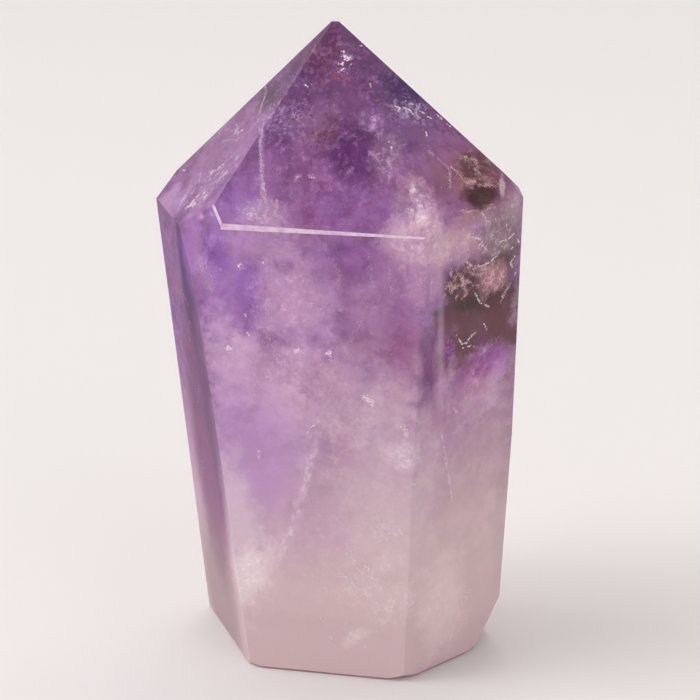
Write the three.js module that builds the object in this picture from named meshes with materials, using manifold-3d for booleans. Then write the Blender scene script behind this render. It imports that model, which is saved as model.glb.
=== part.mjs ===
// Ametrine point: one piece of purple to pale quartz, cut and polished as a six sided tower.
// Millimetres, +Z up. The origin is the middle of the resting face, and the wide front face looks along -Y.

import * as THREE from 'three';
import * as BufferGeometryUtils from 'three/addons/utils/BufferGeometryUtils.js';
import Module from 'manifold-3d';

// Driving sizes.

const HEIGHT = 75;                                       // resting face to the blunted tip
const SHARP_TIP = new THREE.Vector3( - 2.0, 0.0, 75.4 );   // where the faces of the point would meet
const ROUGH_SIZE = 160;                                  // block that the tower is ground from

// Angles are in degrees. An azimuth of 0 faces -Y, and it grows towards +X.
// A lean is how far a body face tips outwards as it rises.
// A foot is how far the face stands from the origin at the height of the resting face.

const BODY_FACES = {
  left: { azimuth: - 68.7, lean: 5.9, foot: 14.6 },
  front: { azimuth: - 11, lean: 1.0, foot: 11.3 },
  right: { azimuth: 41, lean: 2.2, foot: 13.4 },
  backRight: { azimuth: 111, lean: - 0.2, foot: 16.3 },
  back: { azimuth: 168, lean: 1.8, foot: 11.6 },
  backLeft: { azimuth: - 143, lean: - 0.5, foot: 15.8 },
};

// The back right face tips in again towards its foot.

const BACK_RIGHT_LOWER = { azimuth: 111, lean: 1.9, foot: 15.3 };

// A rise is how far a face of the point tips back from upright. All six meet at the sharp tip.

const POINT_FACES = {
  left: { azimuth: - 63, rise: 39.5 },
  front: { azimuth: - 10.9, rise: 29.5 },
  right: { azimuth: 38.3, rise: 40.6 },
  backRight: { azimuth: 111, rise: 44.4 },
  back: { azimuth: 166, rise: 35 },
  backLeft: { azimuth: - 143, rise: 36.6 },
};

// Single facets that take off a corner, each through one known place on the stone.

const CORNER_FACETS = {
  frontLeftShoulder: { azimuth: - 39.7, rise: 11.1, through: [ - 16.6, - 8.2, 52.8 ] },
  leftShoulder: { azimuth: - 105, rise: 33.6, through: [ - 22.5, 2.1, 54.4 ] },
  rightShoulderUpper: { azimuth: 80, rise: 45.5, through: [ 16.4, - 3.3, 59.1 ] },
  rightShoulderLower: { azimuth: 76, rise: 40.7, through: [ 17.7, - 3.7, 57.7 ] },
  rightFootUpper: { azimuth: 76, rise: - 22.3, through: [ 17.6, - 2.8, 6.0 ] },
  rightFootLower: { azimuth: 70, rise: - 55.4, through: [ 13.2, - 6.3, 0 ] },
  frontLeftFoot: { azimuth: - 37, rise: - 40, through: [ - 11.6, - 8.6, 0 ] },
  frontRightFoot: { azimuth: 16, rise: - 52, through: [ 5.4, - 11.6, 0 ] },
};

// The ground bevels: a bright brow under the front face of the point, wider at its left end,
// its short turn up beside the front left shoulder, and a small one all round the foot.

const BROW_WIDTH = 0.43;
const BROW_TAPER = - 0.02;
const BROW_TURN_WIDTH = 0.35;
const FOOT_BEVEL = 0.4;

const wasm = await Module();
wasm.setup();

// Planes. Each is an outward direction and its distance from the origin.

function outward( azimuth, rise ) {

  const a = THREE.MathUtils.degToRad( azimuth );
  const r = THREE.MathUtils.degToRad( rise );
  return new THREE.Vector3( Math.sin( a ) * Math.cos( r ), - Math.cos( a ) * Math.cos( r ), Math.sin( r ) );

}

function planeThrough( azimuth, rise, point ) {

  const normal = outward( azimuth, rise );
  return { normal, distance: normal.dot( point ) };

}

function bodyPlane( { azimuth, lean, foot } ) {

  return planeThrough( azimuth, - lean, outward( azimuth, 0 ).multiplyScalar( foot ) );

}

function pointPlane( { azimuth, rise } ) {

  return planeThrough( azimuth, rise, SHARP_TIP );

}

function cornerPlane( { azimuth, rise, through } ) {

  return planeThrough( azimuth, rise, new THREE.Vector3( ...through ) );

}

// The bevel between two faces leans halfway between them and cuts in until it has its width.
// A taper is the change of width for each millimetre along the edge.

function bevelPlane( a, b, width, taper = 0 ) {

  const sum = a.normal.clone().add( b.normal );
  const corner = ( a.distance + b.distance ) / sum.length();
  const depthPerWidth = Math.tan( a.normal.angleTo( b.normal ) / 2 ) / 2;
  const along = a.normal.clone().cross( b.normal ).normalize();
  const normal = sum.normalize().addScaledVector( along, taper * depthPerWidth );
  const distance = ( corner - width * depthPerWidth ) / normal.length();
  return { normal: normal.normalize(), distance };

}

// Solids.

function solidOf( geometry ) {

  geometry.deleteAttribute( 'normal' );
  geometry.deleteAttribute( 'uv' );
  const merged = BufferGeometryUtils.mergeVertices( geometry );
  return new wasm.Manifold( new wasm.Mesh( {
    numProp: 3,
    vertProperties: new Float32Array( merged.attributes.position.array ),
    triVerts: new Uint32Array( merged.index.array ),
  } ) );

}

function roughBlock() {

  const block = new THREE.BoxGeometry( ROUGH_SIZE, ROUGH_SIZE, HEIGHT );
  block.translate( 0, 0, HEIGHT / 2 );
  return solidOf( block );

}

// Grinds away everything on the outer side of a plane.

function grind( stone, plane ) {

  const waste = new THREE.BoxGeometry( 2 * ROUGH_SIZE, 2 * ROUGH_SIZE, ROUGH_SIZE );
  waste.translate( 0, 0, ROUGH_SIZE / 2 );
  const turn = new THREE.Quaternion().setFromUnitVectors( new THREE.Vector3( 0, 0, 1 ), plane.normal );
  waste.applyQuaternion( turn );
  const face = plane.normal.clone().multiplyScalar( plane.distance );
  waste.translate( face.x, face.y, face.z );
  return stone.subtract( solidOf( waste ) );

}

function geometryOf( solid ) {

  const { vertProperties, triVerts } = solid.getMesh();
  const geometry = new THREE.BufferGeometry();
  geometry.setAttribute( 'position', new THREE.BufferAttribute( vertProperties, 3 ) );
  geometry.setIndex( new THREE.BufferAttribute( triVerts, 1 ) );
  geometry.computeVertexNormals();
  return geometry;

}

// All the planes of the tower, in the order that they are ground.

function towerPlanes() {

  const body = Object.fromEntries( Object.entries( BODY_FACES ).map( ( [ name, f ] ) => [ name, bodyPlane( f ) ] ) );
  const point = Object.fromEntries( Object.entries( POINT_FACES ).map( ( [ name, f ] ) => [ name, pointPlane( f ) ] ) );
  const lower = bodyPlane( BACK_RIGHT_LOWER );
  const corners = Object.values( CORNER_FACETS ).map( cornerPlane );
  const shoulder = cornerPlane( CORNER_FACETS.frontLeftShoulder );
  const floor = { normal: new THREE.Vector3( 0, 0, - 1 ), distance: 0 };

  const brow = bevelPlane( point.front, body.front, BROW_WIDTH, BROW_TAPER );
  const browTurn = bevelPlane( point.front, shoulder, BROW_TURN_WIDTH );
  const footBevels = [ ...Object.values( body ), lower ].map( ( face ) => bevelPlane( face, floor, FOOT_BEVEL ) );

  return [
    ...Object.values( body ),
    lower,
    ...Object.values( point ),
    ...corners,
    brow,
    browTurn,
    ...footBevels,
  ];

}

function ametrinePoint() {

  const stone = towerPlanes().reduce( grind, roughBlock() );
  const quartz = new THREE.MeshStandardMaterial( {
    name: 'ametrine',
    color: 0xb08ab8,
    roughness: 0.06,
    metalness: 0,
    flatShading: true,
    transparent: true,
    opacity: 0.85,
  } );
  const mesh = new THREE.Mesh( geometryOf( stone ), quartz );
  mesh.name = 'ametrine_point';
  return mesh;

}

const part = new THREE.Group();
part.name = 'ametrine_point_part';
part.add( ametrinePoint() );

export default part;
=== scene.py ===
"""Ametrine point: a polished quartz tower, violet at its tip and pale rose grey at its foot.

The stone is one clear to cloudy piece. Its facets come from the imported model. This script wears their edges,
dresses the quartz and grows the veils, cracks, dust and glints in it. Sizes are in metres unless a name or
comment says otherwise.
"""

import logging
import math
from dataclasses import dataclass, field
from enum import Enum

import bmesh
import bpy
import numpy as np
from mathutils import Matrix, Vector
from mathutils.noise import fractal


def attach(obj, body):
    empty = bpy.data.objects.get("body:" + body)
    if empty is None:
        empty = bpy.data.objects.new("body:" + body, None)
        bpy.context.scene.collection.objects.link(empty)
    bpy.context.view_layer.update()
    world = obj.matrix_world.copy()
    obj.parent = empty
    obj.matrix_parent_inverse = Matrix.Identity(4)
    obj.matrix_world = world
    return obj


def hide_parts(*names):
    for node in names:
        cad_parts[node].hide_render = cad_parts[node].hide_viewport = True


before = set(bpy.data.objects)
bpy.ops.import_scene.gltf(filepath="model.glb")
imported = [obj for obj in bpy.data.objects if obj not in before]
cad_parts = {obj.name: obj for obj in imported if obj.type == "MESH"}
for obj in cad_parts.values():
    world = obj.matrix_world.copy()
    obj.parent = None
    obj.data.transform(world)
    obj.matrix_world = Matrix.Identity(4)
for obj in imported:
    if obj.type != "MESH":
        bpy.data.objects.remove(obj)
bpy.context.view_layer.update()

MM = 0.001
QUARTZ_INDEX = 1.544
NODE = "ametrine_point"
BODY = "root"
CLUMP_SHIFT = (7.3, 3.1, 5.7)
CLUMP_ROUGH, CLUMP_GAP, CLUMP_OCTAVES, CLUMP_GAIN = 0.6, 2.1, 3, 1.4

Socket = bpy.types.NodeSocket
Colour = tuple[int, int, int]
Strewn = tuple[np.ndarray, np.ndarray, np.ndarray]

log = logging.getLogger("ametrine")


@dataclass(frozen=True)
class PhotoView:
    """The camera that sees the stone as it is seen in the picture, 700 pixels square."""

    pixels: float = 700.0
    focal_pixels: float = 1900.0
    sensor_mm: float = 36.0
    place: tuple[float, float, float] = (-0.37 * MM, -208.09 * MM, 112.4 * MM)
    pitch_down_deg: float = 20.0
    clip: tuple[float, float] = (0.01, 50.0)

    def build(self) -> None:
        """Makes the camera and sets it as the scene's own."""
        data = bpy.data.cameras.new("camera")
        data.sensor_width = self.sensor_mm
        data.lens = self.sensor_mm * self.focal_pixels / self.pixels
        data.clip_start, data.clip_end = self.clip
        data.dof.use_dof = False
        camera = add_object("camera", data)
        camera.location = self.place
        camera.rotation_euler = (math.radians(90.0 - self.pitch_down_deg), 0.0, 0.0)
        bpy.context.scene.camera = camera

    def ray(self, x: float, y: float) -> Vector:
        """Gives the direction in which the camera sees a pixel.

        Args:
            x: Pixel column, from the left.
            y: Pixel row, from the top.

        Returns:
            A unit direction in the frame of the stone.
        """
        right = (x - self.pixels / 2.0) / self.focal_pixels
        up = (self.pixels / 2.0 - y) / self.focal_pixels
        pitch = math.radians(self.pitch_down_deg)
        ahead = Vector((0.0, math.cos(pitch), -math.sin(pitch)))
        upward = Vector((0.0, math.sin(pitch), math.cos(pitch)))
        return (ahead + Vector((right, 0.0, 0.0)) + upward * up).normalized()


class Graph:
    """A small builder for the node tree of one material or world, which makes equal nodes only once."""

    def __init__(self, tree: bpy.types.NodeTree) -> None:
        """Empties the tree and keeps it."""
        self.tree = tree
        self.tree.nodes.clear()
        self.known: dict[tuple[object, ...], bpy.types.Node] = {}

    def node(self, kind: str, inputs: dict[int | str, object] | None = None, **settings: object) -> bpy.types.Node:
        """Adds a node and feeds its inputs, or finds the same one.

        Args:
            kind: The node's type name, without its first word.
            inputs: A socket, number or tuple for each input, by its place or name.
            settings: Properties to set on the node.

        Returns:
            The node.
        """
        fed = tuple((inputs or {}).items())
        pointers = ((name, value.as_pointer() if isinstance(value, Socket) else value) for name, value in fed)
        key = (kind, *settings.values(), *pointers)
        if key not in self.known:
            made = self.known[key] = self.tree.nodes.new("ShaderNode" + kind)
            for name, value in settings.items():
                setattr(made, name, value)
            for name, value in fed:
                if isinstance(value, Socket):
                    self.tree.links.new(value, made.inputs[name])
                else:
                    made.inputs[name].default_value = value
        return self.known[key]

    def math(self, operation: str, *values: object) -> Socket:
        """Gives the result of a Math node, such as MULTIPLY."""
        return self.node("Math", dict(enumerate(values)), operation=operation).outputs[0]

    def vector(self, operation: str, *values: object) -> Socket:
        """Gives the result of a Vector Math node, which is a number for DOT_PRODUCT and LENGTH."""
        made = self.node("VectorMath", dict(enumerate(values)), operation=operation)
        return made.outputs["Value" if operation in ("DOT_PRODUCT", "LENGTH") else "Vector"]

    def split(self, at: Socket) -> list[Socket]:
        """Gives the three numbers of a vector."""
        return list(self.node("SeparateXYZ", {0: at}).outputs)

    def turned(self, at: Socket, angle: float) -> Socket:
        """Gives a place turned about the Y axis, by an angle in radians."""
        return self.node("VectorRotate", {"Vector": at, "Angle": angle}, rotation_type="Y_AXIS").outputs[0]

    def place_mm(self) -> Socket:
        """Gives the place on the stone, in millimetres."""
        return self.vector("MULTIPLY", self.node("TexCoord").outputs["Object"], (1.0 / MM,) * 3)

    def noise(self, at: Socket, scale: float, detail: float = 2, rough: float = 0.5) -> Socket:
        """Gives a noise of about -1 to 1: its waves for each millimetre, its octaves and the share each keeps."""
        made = self.node("TexNoise", {"Vector": at, "Scale": scale, "Detail": detail, "Roughness": rough})
        return self.math("MULTIPLY_ADD", made.outputs[0], 2.0, -1.0)

    def step(self, value: object, low: float, high: float, top: float = 1.0) -> Socket:
        """Gives a smooth step from 0 where the value is low to the top where it is high."""
        inputs = dict(enumerate((value, low, high, 0.0, top)))
        return self.node("MapRange", inputs, interpolation_type="SMOOTHSTEP").outputs[0]

    def fade(self, share: object, value: object) -> Socket:
        """Gives a number that fades to 0 as the share grows to 1."""
        return self.node("Mix", {0: share, 2: value, 3: 0.0}, data_type="FLOAT").outputs[0]

    def mix(self, share: object, first: object, second: object, blend: str = "MIX") -> Socket:
        """Gives a mix of two colours, with a share of the second one."""
        return self.node("Mix", {0: share, 6: first, 7: second}, data_type="RGBA", blend_type=blend).outputs[2]


def linear(*screen: int) -> tuple[float, ...]:
    """Turns a screen colour of 0 to 255 into the shader's own colour.

    Args:
        screen: Red, green and blue on the screen.

    Returns:
        Red, green, blue and an alpha of 1.
    """
    shares = (value / 255.0 for value in screen)
    bent = (share / 12.92 if share <= 0.04045 else ((share + 0.055) / 1.055) ** 2.4 for share in shares)
    return *bent, 1.0


class Grain:
    """The noises that all regions of the quartz share."""

    def __init__(self, graph: Graph) -> None:
        """Builds the noises."""
        self.graph = graph
        self.place = place = graph.place_mm()
        self.across, _, self.height = graph.split(place)
        self.facing = graph.node("NewGeometry").outputs["Normal"]
        self.drift = graph.noise(place, 0.11, 2, 0.6)
        self.ragged = graph.noise(place, 0.4, 5, 0.68)
        drawn = graph.vector("MULTIPLY", graph.turned(place, math.radians(-24.0)), (1.0, 1.0, 0.2))
        vein = graph.math("ABSOLUTE", graph.noise(place, 0.36, 5, 0.76))
        line = graph.math("ABSOLUTE", graph.noise(drawn, 0.8, 3, 0.62))
        broken = graph.step(graph.noise(place, 0.8, 2, 0.6), -0.05, 0.3)
        self.speckle = graph.step(graph.noise(place, 1.5, 3, 0.7), -0.08, 0.45)
        self.thread = graph.math("MULTIPLY", graph.step(vein, 0.1, 0.0), broken)
        self.streak = graph.math("MULTIPLY", graph.step(line, 0.13, 0.0), broken)
        # Sparse bright specks that the clouds lay into the colour: painted glints.
        self.glint = graph.step(graph.noise(place, 2.3, 1, 0.5), 0.34, 0.46)


class Form(Enum):
    """The outline of a region."""

    OVAL = "oval"
    BLOCK = "block"


@dataclass(frozen=True)
class Region:
    """A part of the stone with a soft, ragged edge. Its sizes are in millimetres."""

    place: Vector
    reach: tuple[float, float, float]
    turn: float = 0.0
    soft: float = 0.6
    waver: float = 0.9
    form: Form = Form.OVAL
    facet: Vector | None = None
    facet_edge: tuple[float, float] = (0.97, 0.995)

    def inside(self, grain: Grain, top: float = 1.0) -> Socket:
        """Gives a share that is the top well inside the region and 0 outside.

        Args:
            grain: The noises of the quartz.
            top: The share inside.

        Returns:
            The share.
        """
        graph, at, centre = grain.graph, grain.place, self.place / MM
        if self.turn:
            turn = math.radians(-self.turn)
            at, centre = graph.turned(at, turn), Matrix.Rotation(turn, 3, "Y") @ centre
        scale = Vector(1.0 / size for size in self.reach)
        offset = graph.vector("MULTIPLY_ADD", at, tuple(scale), tuple(-centre * scale))
        if self.form is Form.OVAL:
            away = graph.vector("LENGTH", offset)
        else:
            x, y, z = graph.split(graph.vector("ABSOLUTE", offset))
            away = graph.math("MAXIMUM", graph.math("MAXIMUM", x, y), z)
        edge = graph.math("ADD", graph.math("MULTIPLY", grain.ragged, self.waver), away)
        share = graph.step(edge, 1.0 + self.soft / 2.0, 1.0 - self.soft, top)
        if self.facet is None:
            return share
        near = graph.vector("DOT_PRODUCT", grain.facing, tuple(self.facet))
        return graph.math("MULTIPLY", share, graph.step(near, *self.facet_edge))


@dataclass(frozen=True)
class Zone:
    """A blotch of colour that grew in the stone, which tints what shows through it."""

    colour: Colour
    region: Region

    def tint(self, grain: Grain, colour: Socket) -> Socket:
        """Tints the colour so far inside the zone."""
        return grain.graph.mix(self.region.inside(grain), colour, linear(*self.colour), blend="MULTIPLY")


@dataclass(frozen=True)
class Cloud:
    """A cloudy patch just under the polish: an even haze, speckles, threads, long streaks or glints. The glints are
    painted highlights: bright specks laid into the colour.
    """

    colour: Colour
    region: Region
    haze: float = 0.0
    speckles: float = 0.0
    threads: float = 0.0
    streaks: float = 0.0
    # How strongly the painted glints show.
    glints: float = 0.0

    def cover(self, grain: Grain, colour: Socket, clear: object) -> tuple[Socket, Socket]:
        """Lays the cloud over the quartz.

        Args:
            grain: The noises of the quartz.
            colour: The colour so far.
            clear: How clear the quartz is so far, 1 being clear.

        Returns:
            The colour and the clearness with the cloud.
        """
        graph = grain.graph
        amounts = (self.speckles, self.threads, self.streaks, self.glints)
        texture: object = 0.0
        for pattern, amount in zip((grain.speckle, grain.thread, grain.streak, grain.glint), amounts):
            if amount:
                texture = graph.math("MULTIPLY_ADD", pattern, amount, texture)
        if any(amounts):
            density = graph.math("ADD", texture, self.haze) if self.haze else texture
            if self.haze + sum(amounts) > 1.0:
                density = graph.math("MINIMUM", density, 1.0)
            share = graph.math("MULTIPLY", density, self.region.inside(grain))
        else:
            share = self.region.inside(grain, self.haze)
        return graph.mix(share, colour, linear(*self.colour)), graph.fade(share, clear)


@dataclass(frozen=True)
class Scuff:
    """A part of the surface that is less polished than the rest."""

    roughness: float
    region: Region

    def dull(self, grain: Grain, roughness: object) -> Socket:
        """Roughens the surface inside the part."""
        rough = grain.graph.math("MULTIPLY", self.region.inside(grain), self.roughness)
        return grain.graph.math("MAXIMUM", rough, roughness)


@dataclass(frozen=True)
class Finish:
    """What a surface is made of. Its kinds say what goes into the shader."""

    name: str

    def sockets(self, graph: Graph) -> dict[str, object]:
        """Gives the shader's inputs by name."""
        raise NotImplementedError

    def filling(self, graph: Graph) -> dict[str, Socket]:
        """Gives what fills the inside, which is nothing for most finishes."""
        return {}

    def build(self) -> bpy.types.Material:
        """Makes the material, or finds it if it was made before.

        Returns:
            The material.
        """
        material = bpy.data.materials.get(self.name)
        if material is None:
            material = bpy.data.materials.new(self.name)
            material.use_nodes = True
            graph = Graph(material.node_tree)
            shader = graph.node("BsdfPrincipled", self.sockets(graph))
            graph.node("OutputMaterial", {"Surface": shader.outputs[0], **self.filling(graph)})
        return material


@dataclass(frozen=True)
class QuartzFinish(Finish):
    """Polished quartz: clear to cloudy, with the colour that grew in it.

    The clear colours and the colours of the mist run from the foot up to the tip. A pair of heights in
    millimetres says where a change begins and where it ends.
    """

    name: str = "polished_quartz"
    zones: tuple[Zone, ...] = ()
    clouds: tuple[Cloud, ...] = ()
    scuffs: tuple[Scuff, ...] = ()
    outer_roughness: float = 0.16
    inner_roughness: float = 0.6
    transmission: float = 0.96
    absorption_colour: tuple[float, ...] = (0.82, 0.73, 0.745, 1.0)
    absorption_density: float = 70.0
    clear: tuple[Colour, ...] = ((255, 236, 238), (248, 222, 248), (218, 168, 238), (178, 128, 192))
    mist: tuple[Colour, ...] = ((238, 206, 210), (220, 168, 208), (162, 104, 166), (108, 58, 104))
    shade: Colour = (204, 174, 206)
    blue: Colour = (242, 236, 255)
    pink: Colour = (255, 240, 240)
    bands_mm: tuple[tuple[float, float], ...] = ((10, 30), (28, 50), (54, 72))
    band_drift_mm: float = 9.0
    band_lean: float = -0.45
    mist_share: float = 0.2
    billow_share: float = 0.3
    billow_mm: tuple[float, float] = (0, 40)
    low_share: float = 0.5
    low_mm: tuple[float, float] = (42, 0)
    skirt_share: float = 0.9
    skirt_mm: tuple[float, float] = (0.3, 0.02)
    hue_mm: tuple[float, float] = (18, 44)
    calm_mm: tuple[float, float] = (46, 14)

    def growth(self, grain: Grain) -> tuple[Socket, Socket]:
        """Builds the colour of the quartz and how clear it is, from where it lies in the stone.

        A thin mist drifts all through the stone and thickens towards the foot.

        Args:
            grain: The noises of the quartz.

        Returns:
            The colour and how clear the quartz is, 0 to 1.
        """
        graph, height = grain.graph, grain.height
        level = graph.math("MULTIPLY_ADD", grain.drift, self.band_drift_mm, height)
        slant = graph.math("MULTIPLY_ADD", grain.across, self.band_lean, level)
        rises = [graph.step(at, *band) for at, band in zip((slant, slant, level), self.bands_mm)]
        colour, tone = (linear(*colours[0]) for colours in (self.clear, self.mist))
        for rise, clear, mist in zip(rises, self.clear[1:], self.mist[1:]):
            colour = graph.mix(rise, colour, linear(*clear))
            tone = graph.mix(rise, tone, linear(*mist))
        billow = graph.step(graph.noise(grain.place, 0.3, 5, 0.66), -0.35, 0.45)
        billow = graph.math("MULTIPLY", billow, graph.step(height, *self.billow_mm))
        density = graph.math("MULTIPLY_ADD", billow, self.billow_share, self.mist_share)
        density = graph.math("MULTIPLY_ADD", graph.step(height, *self.low_mm), self.low_share, density)
        skirt = graph.math("MULTIPLY", graph.step(height, *self.skirt_mm), self.skirt_share)
        density = graph.math("MAXIMUM", density, skirt)
        colour = graph.mix(density, colour, tone)
        for zone in self.zones:
            colour = zone.tint(grain, colour)
        hue = graph.step(graph.noise(grain.place, 0.16, 3, 0.6), -0.3, 0.3)
        hue = graph.mix(hue, linear(*self.blue), linear(*self.pink))
        colour = graph.mix(graph.step(height, *self.hue_mm), colour, hue, blend="MULTIPLY")
        mottle = graph.step(graph.noise(grain.place, 0.46, 7, 0.78), -0.3, 0.25)
        calm = graph.math("MAXIMUM", mottle, graph.step(height, *self.calm_mm))
        shaded = graph.mix(1.0, colour, linear(*self.shade), blend="MULTIPLY")
        return graph.mix(calm, shaded, colour), graph.math("SUBTRACT", 1.0, density)

    def sockets(self, graph: Graph) -> dict[str, object]:
        """Gives the shader's inputs by name.

        Args:
            graph: The material's nodes.

        Returns:
            The inputs.
        """
        grain = Grain(graph)
        colour, clear = self.growth(grain)
        for cloud in self.clouds:
            colour, clear = cloud.cover(grain, colour, clear)
        roughness: object = self.outer_roughness
        for scuff in self.scuffs:
            roughness = scuff.dull(grain, roughness)
        inner = graph.math("MULTIPLY", graph.node("NewGeometry").outputs["Backfacing"], self.inner_roughness)
        return {
            "Base Color": colour, "Roughness": graph.math("MAXIMUM", roughness, inner), "IOR": QUARTZ_INDEX,
            "Transmission Weight": graph.math("MULTIPLY", clear, self.transmission)}

    def filling(self, graph: Graph) -> dict[str, Socket]:
        """Gives the absorption inside the stone."""
        inputs = {"Color": self.absorption_colour, "Density": self.absorption_density}
        return {"Volume": graph.node("VolumeAbsorption", inputs).outputs[0]}


@dataclass(frozen=True)
class GroundFinish(Finish):
    """The narrow bevels, ground but less polished than the faces, so that they catch the light. Their pale colour is
    partly the frost of ground quartz and partly a painted highlight.
    """

    name: str = "ground_bevel"
    # Pale pinkish white: the frost of ground quartz, brightened into a painted highlight along the bevels.
    colour: Colour = (255, 232, 250)
    foot_colour: Colour = (226, 188, 190)
    dull: Colour = (214, 190, 216)
    roughness: float = 0.3
    transmission: float = 0.2
    pit_mm: float = 0.01
    foot_mm: tuple[float, float] = (4, 30)

    def sockets(self, graph: Graph) -> dict[str, object]:
        """Gives the shader's inputs by name.

        Args:
            graph: The material's nodes.

        Returns:
            The inputs.
        """
        place = graph.place_mm()
        streak = graph.step(graph.noise(place, 1.3, 4, 0.6), -0.7, 0.5)
        rise = graph.step(graph.split(place)[2], *self.foot_mm)
        bright = graph.mix(rise, linear(*self.foot_colour), linear(*self.colour))
        dull = graph.mix(1.0, bright, linear(*self.dull), blend="MULTIPLY")
        pits = graph.node("Bump", {"Distance": self.pit_mm * MM, "Height": graph.noise(place, 6.0)})
        return {
            "Base Color": graph.mix(streak, dull, bright), "Roughness": self.roughness, "IOR": QUARTZ_INDEX,
            "Transmission Weight": self.transmission, "Normal": pits.outputs[0]}


@dataclass(frozen=True)
class FlakeFinish(Finish):
    """What the small flakes of a flaw are made of: two tones that mottle into each other, and a painted glow in the
    lighter tone wherever its strength isn't 0.
    """

    light: Colour
    dark: Colour
    roughness: float = 0.5
    metallic: float = 0.0
    painted_glow: float = 0.0

    def sockets(self, graph: Graph) -> dict[str, object]:
        """Gives the shader's inputs by name."""
        patch = graph.step(graph.noise(graph.place_mm(), 1.2, 3, 0.6), -0.35, 0.35)
        return {
            "Base Color": graph.mix(patch, linear(*self.dark), linear(*self.light)), "Roughness": self.roughness,
            # Emission: a painted glow in the lighter tone that lights the flakes as no lamp does.
            "Metallic": self.metallic, "Emission Color": linear(*self.light), "Emission Strength": self.painted_glow}


@dataclass(frozen=True)
class PaintFinish(Finish):
    """A matt paint for the floor of the studio."""

    name: str = "studio_paint"
    colour: tuple[float, ...] = (0.80, 0.775, 0.77, 1.0)
    roughness: float = 0.8

    def sockets(self, graph: Graph) -> dict[str, object]:
        """Gives the shader's inputs by name."""
        return {"Base Color": self.colour, "Roughness": self.roughness}


def add_object(name: str, data: bpy.types.ID) -> bpy.types.Object:
    """Puts a mesh, a camera or a light in the scene.

    Args:
        name: The object's name.
        data: What it shows.

    Returns:
        The object.
    """
    made = bpy.data.objects.new(name, data)
    bpy.context.scene.collection.objects.link(made)
    return made


@dataclass(frozen=True)
class Window:
    """A soft round patch of the studio's light, brighter or darker than the rest. Its angles are in degrees."""

    azimuth: float
    elevation: float
    inner: float
    outer: float
    gain: float

    def add_to(self, graph: Graph, toward: Socket, light: object) -> Socket:
        """Adds the patch to the light from every direction.

        Args:
            graph: The world's nodes.
            toward: The direction that is lit.
            light: The light so far.

        Returns:
            The light with the patch.
        """
        turn, rise = math.radians(self.azimuth), math.radians(self.elevation)
        centre = (math.sin(turn) * math.cos(rise), -math.cos(turn) * math.cos(rise), math.sin(rise))
        near = graph.vector("DOT_PRODUCT", toward, centre)
        edge = (math.cos(math.radians(self.outer)), math.cos(math.radians(self.inner)))
        return graph.math("MULTIPLY_ADD", graph.step(near, *edge), self.gain, light)


@dataclass
class Studio:
    """A pale floor that sweeps up into a wall, and soft light all round."""

    paint: PaintFinish = PaintFinish()
    floor_drop: float = 0.05 * MM
    half_width: float = 3.0
    front: float = -2.0
    back: float = 2.4
    cove: float = 0.6
    wall_top: float = 3.0
    cove_steps: int = 24
    sky_colour: tuple[float, ...] = (1.0, 0.975, 0.965, 1.0)
    sky_strength: float = 0.98
    windows: tuple[Window, ...] = (
        Window(-90, 52, 12, 18, 3.0), Window(135, 35, 8, 13, 2.2), Window(180, 62, 12, 20, 1.4),
        Window(-20, 38, 20, 42, -0.66), Window(-26, 3, 4, 9, 1.5), Window(88, 22, 18, 40, -0.6))
    key_place: Vector = field(default_factory=lambda: Vector((-0.9, -0.3, 1.0)))
    key_aim: Vector = field(default_factory=lambda: Vector((0.0, 0.0, 0.035)))
    key_size: float = 0.6
    key_watts: float = 2.5

    def sweep(self) -> None:
        """Builds the floor and the wall as one curved sheet."""
        low = -self.floor_drop
        line = [(self.front, low), (self.back - self.cove, low)]
        for step in range(1, self.cove_steps + 1):
            turn = math.pi / 2.0 * step / self.cove_steps
            line.append((self.back - self.cove + self.cove * math.sin(turn), low + self.cove * (1.0 - math.cos(turn))))
        line.append((self.back, self.wall_top))
        points = [(side * self.half_width, y, z) for y, z in line for side in (-1.0, 1.0)]
        faces = [(2 * i, 2 * i + 1, 2 * i + 3, 2 * i + 2) for i in range(len(line) - 1)]
        mesh = bpy.data.meshes.new("studio_sweep")
        mesh.from_pydata(points, [], faces)
        mesh.polygons.foreach_set("use_smooth", [True] * len(faces))
        mesh.materials.append(self.paint.build())
        made = add_object("studio_sweep", mesh)

    def sky(self) -> None:
        """Fills the world with an even, slightly warm light, with a few soft windows."""
        world = bpy.data.worlds.new("studio_light")
        world.use_nodes = True
        bpy.context.scene.world = world
        graph = Graph(world.node_tree)
        toward = graph.vector("NORMALIZE", graph.node("TexCoord").outputs["Generated"])
        light: object = self.sky_strength
        for window in self.windows:
            light = window.add_to(graph, toward, light)
        shader = graph.node("Background", {"Color": self.sky_colour, "Strength": light})
        graph.node("OutputWorld", {"Surface": shader.outputs[0]})

    def key(self) -> None:
        """Hangs the soft square light."""
        data = bpy.data.lights.new("soft_key", "AREA")
        data.shape = "SQUARE"
        data.size = self.key_size
        data.energy = self.key_watts
        light = add_object("soft_key", data)
        light.location = self.key_place
        light.rotation_euler = (self.key_aim - self.key_place).to_track_quat("-Z", "Y").to_euler()

    def build(self) -> None:
        """Builds the sweep, the sky and the soft light."""
        self.sweep()
        self.sky()
        self.key()
        bpy.context.scene.view_settings.view_transform = "Standard"


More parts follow.
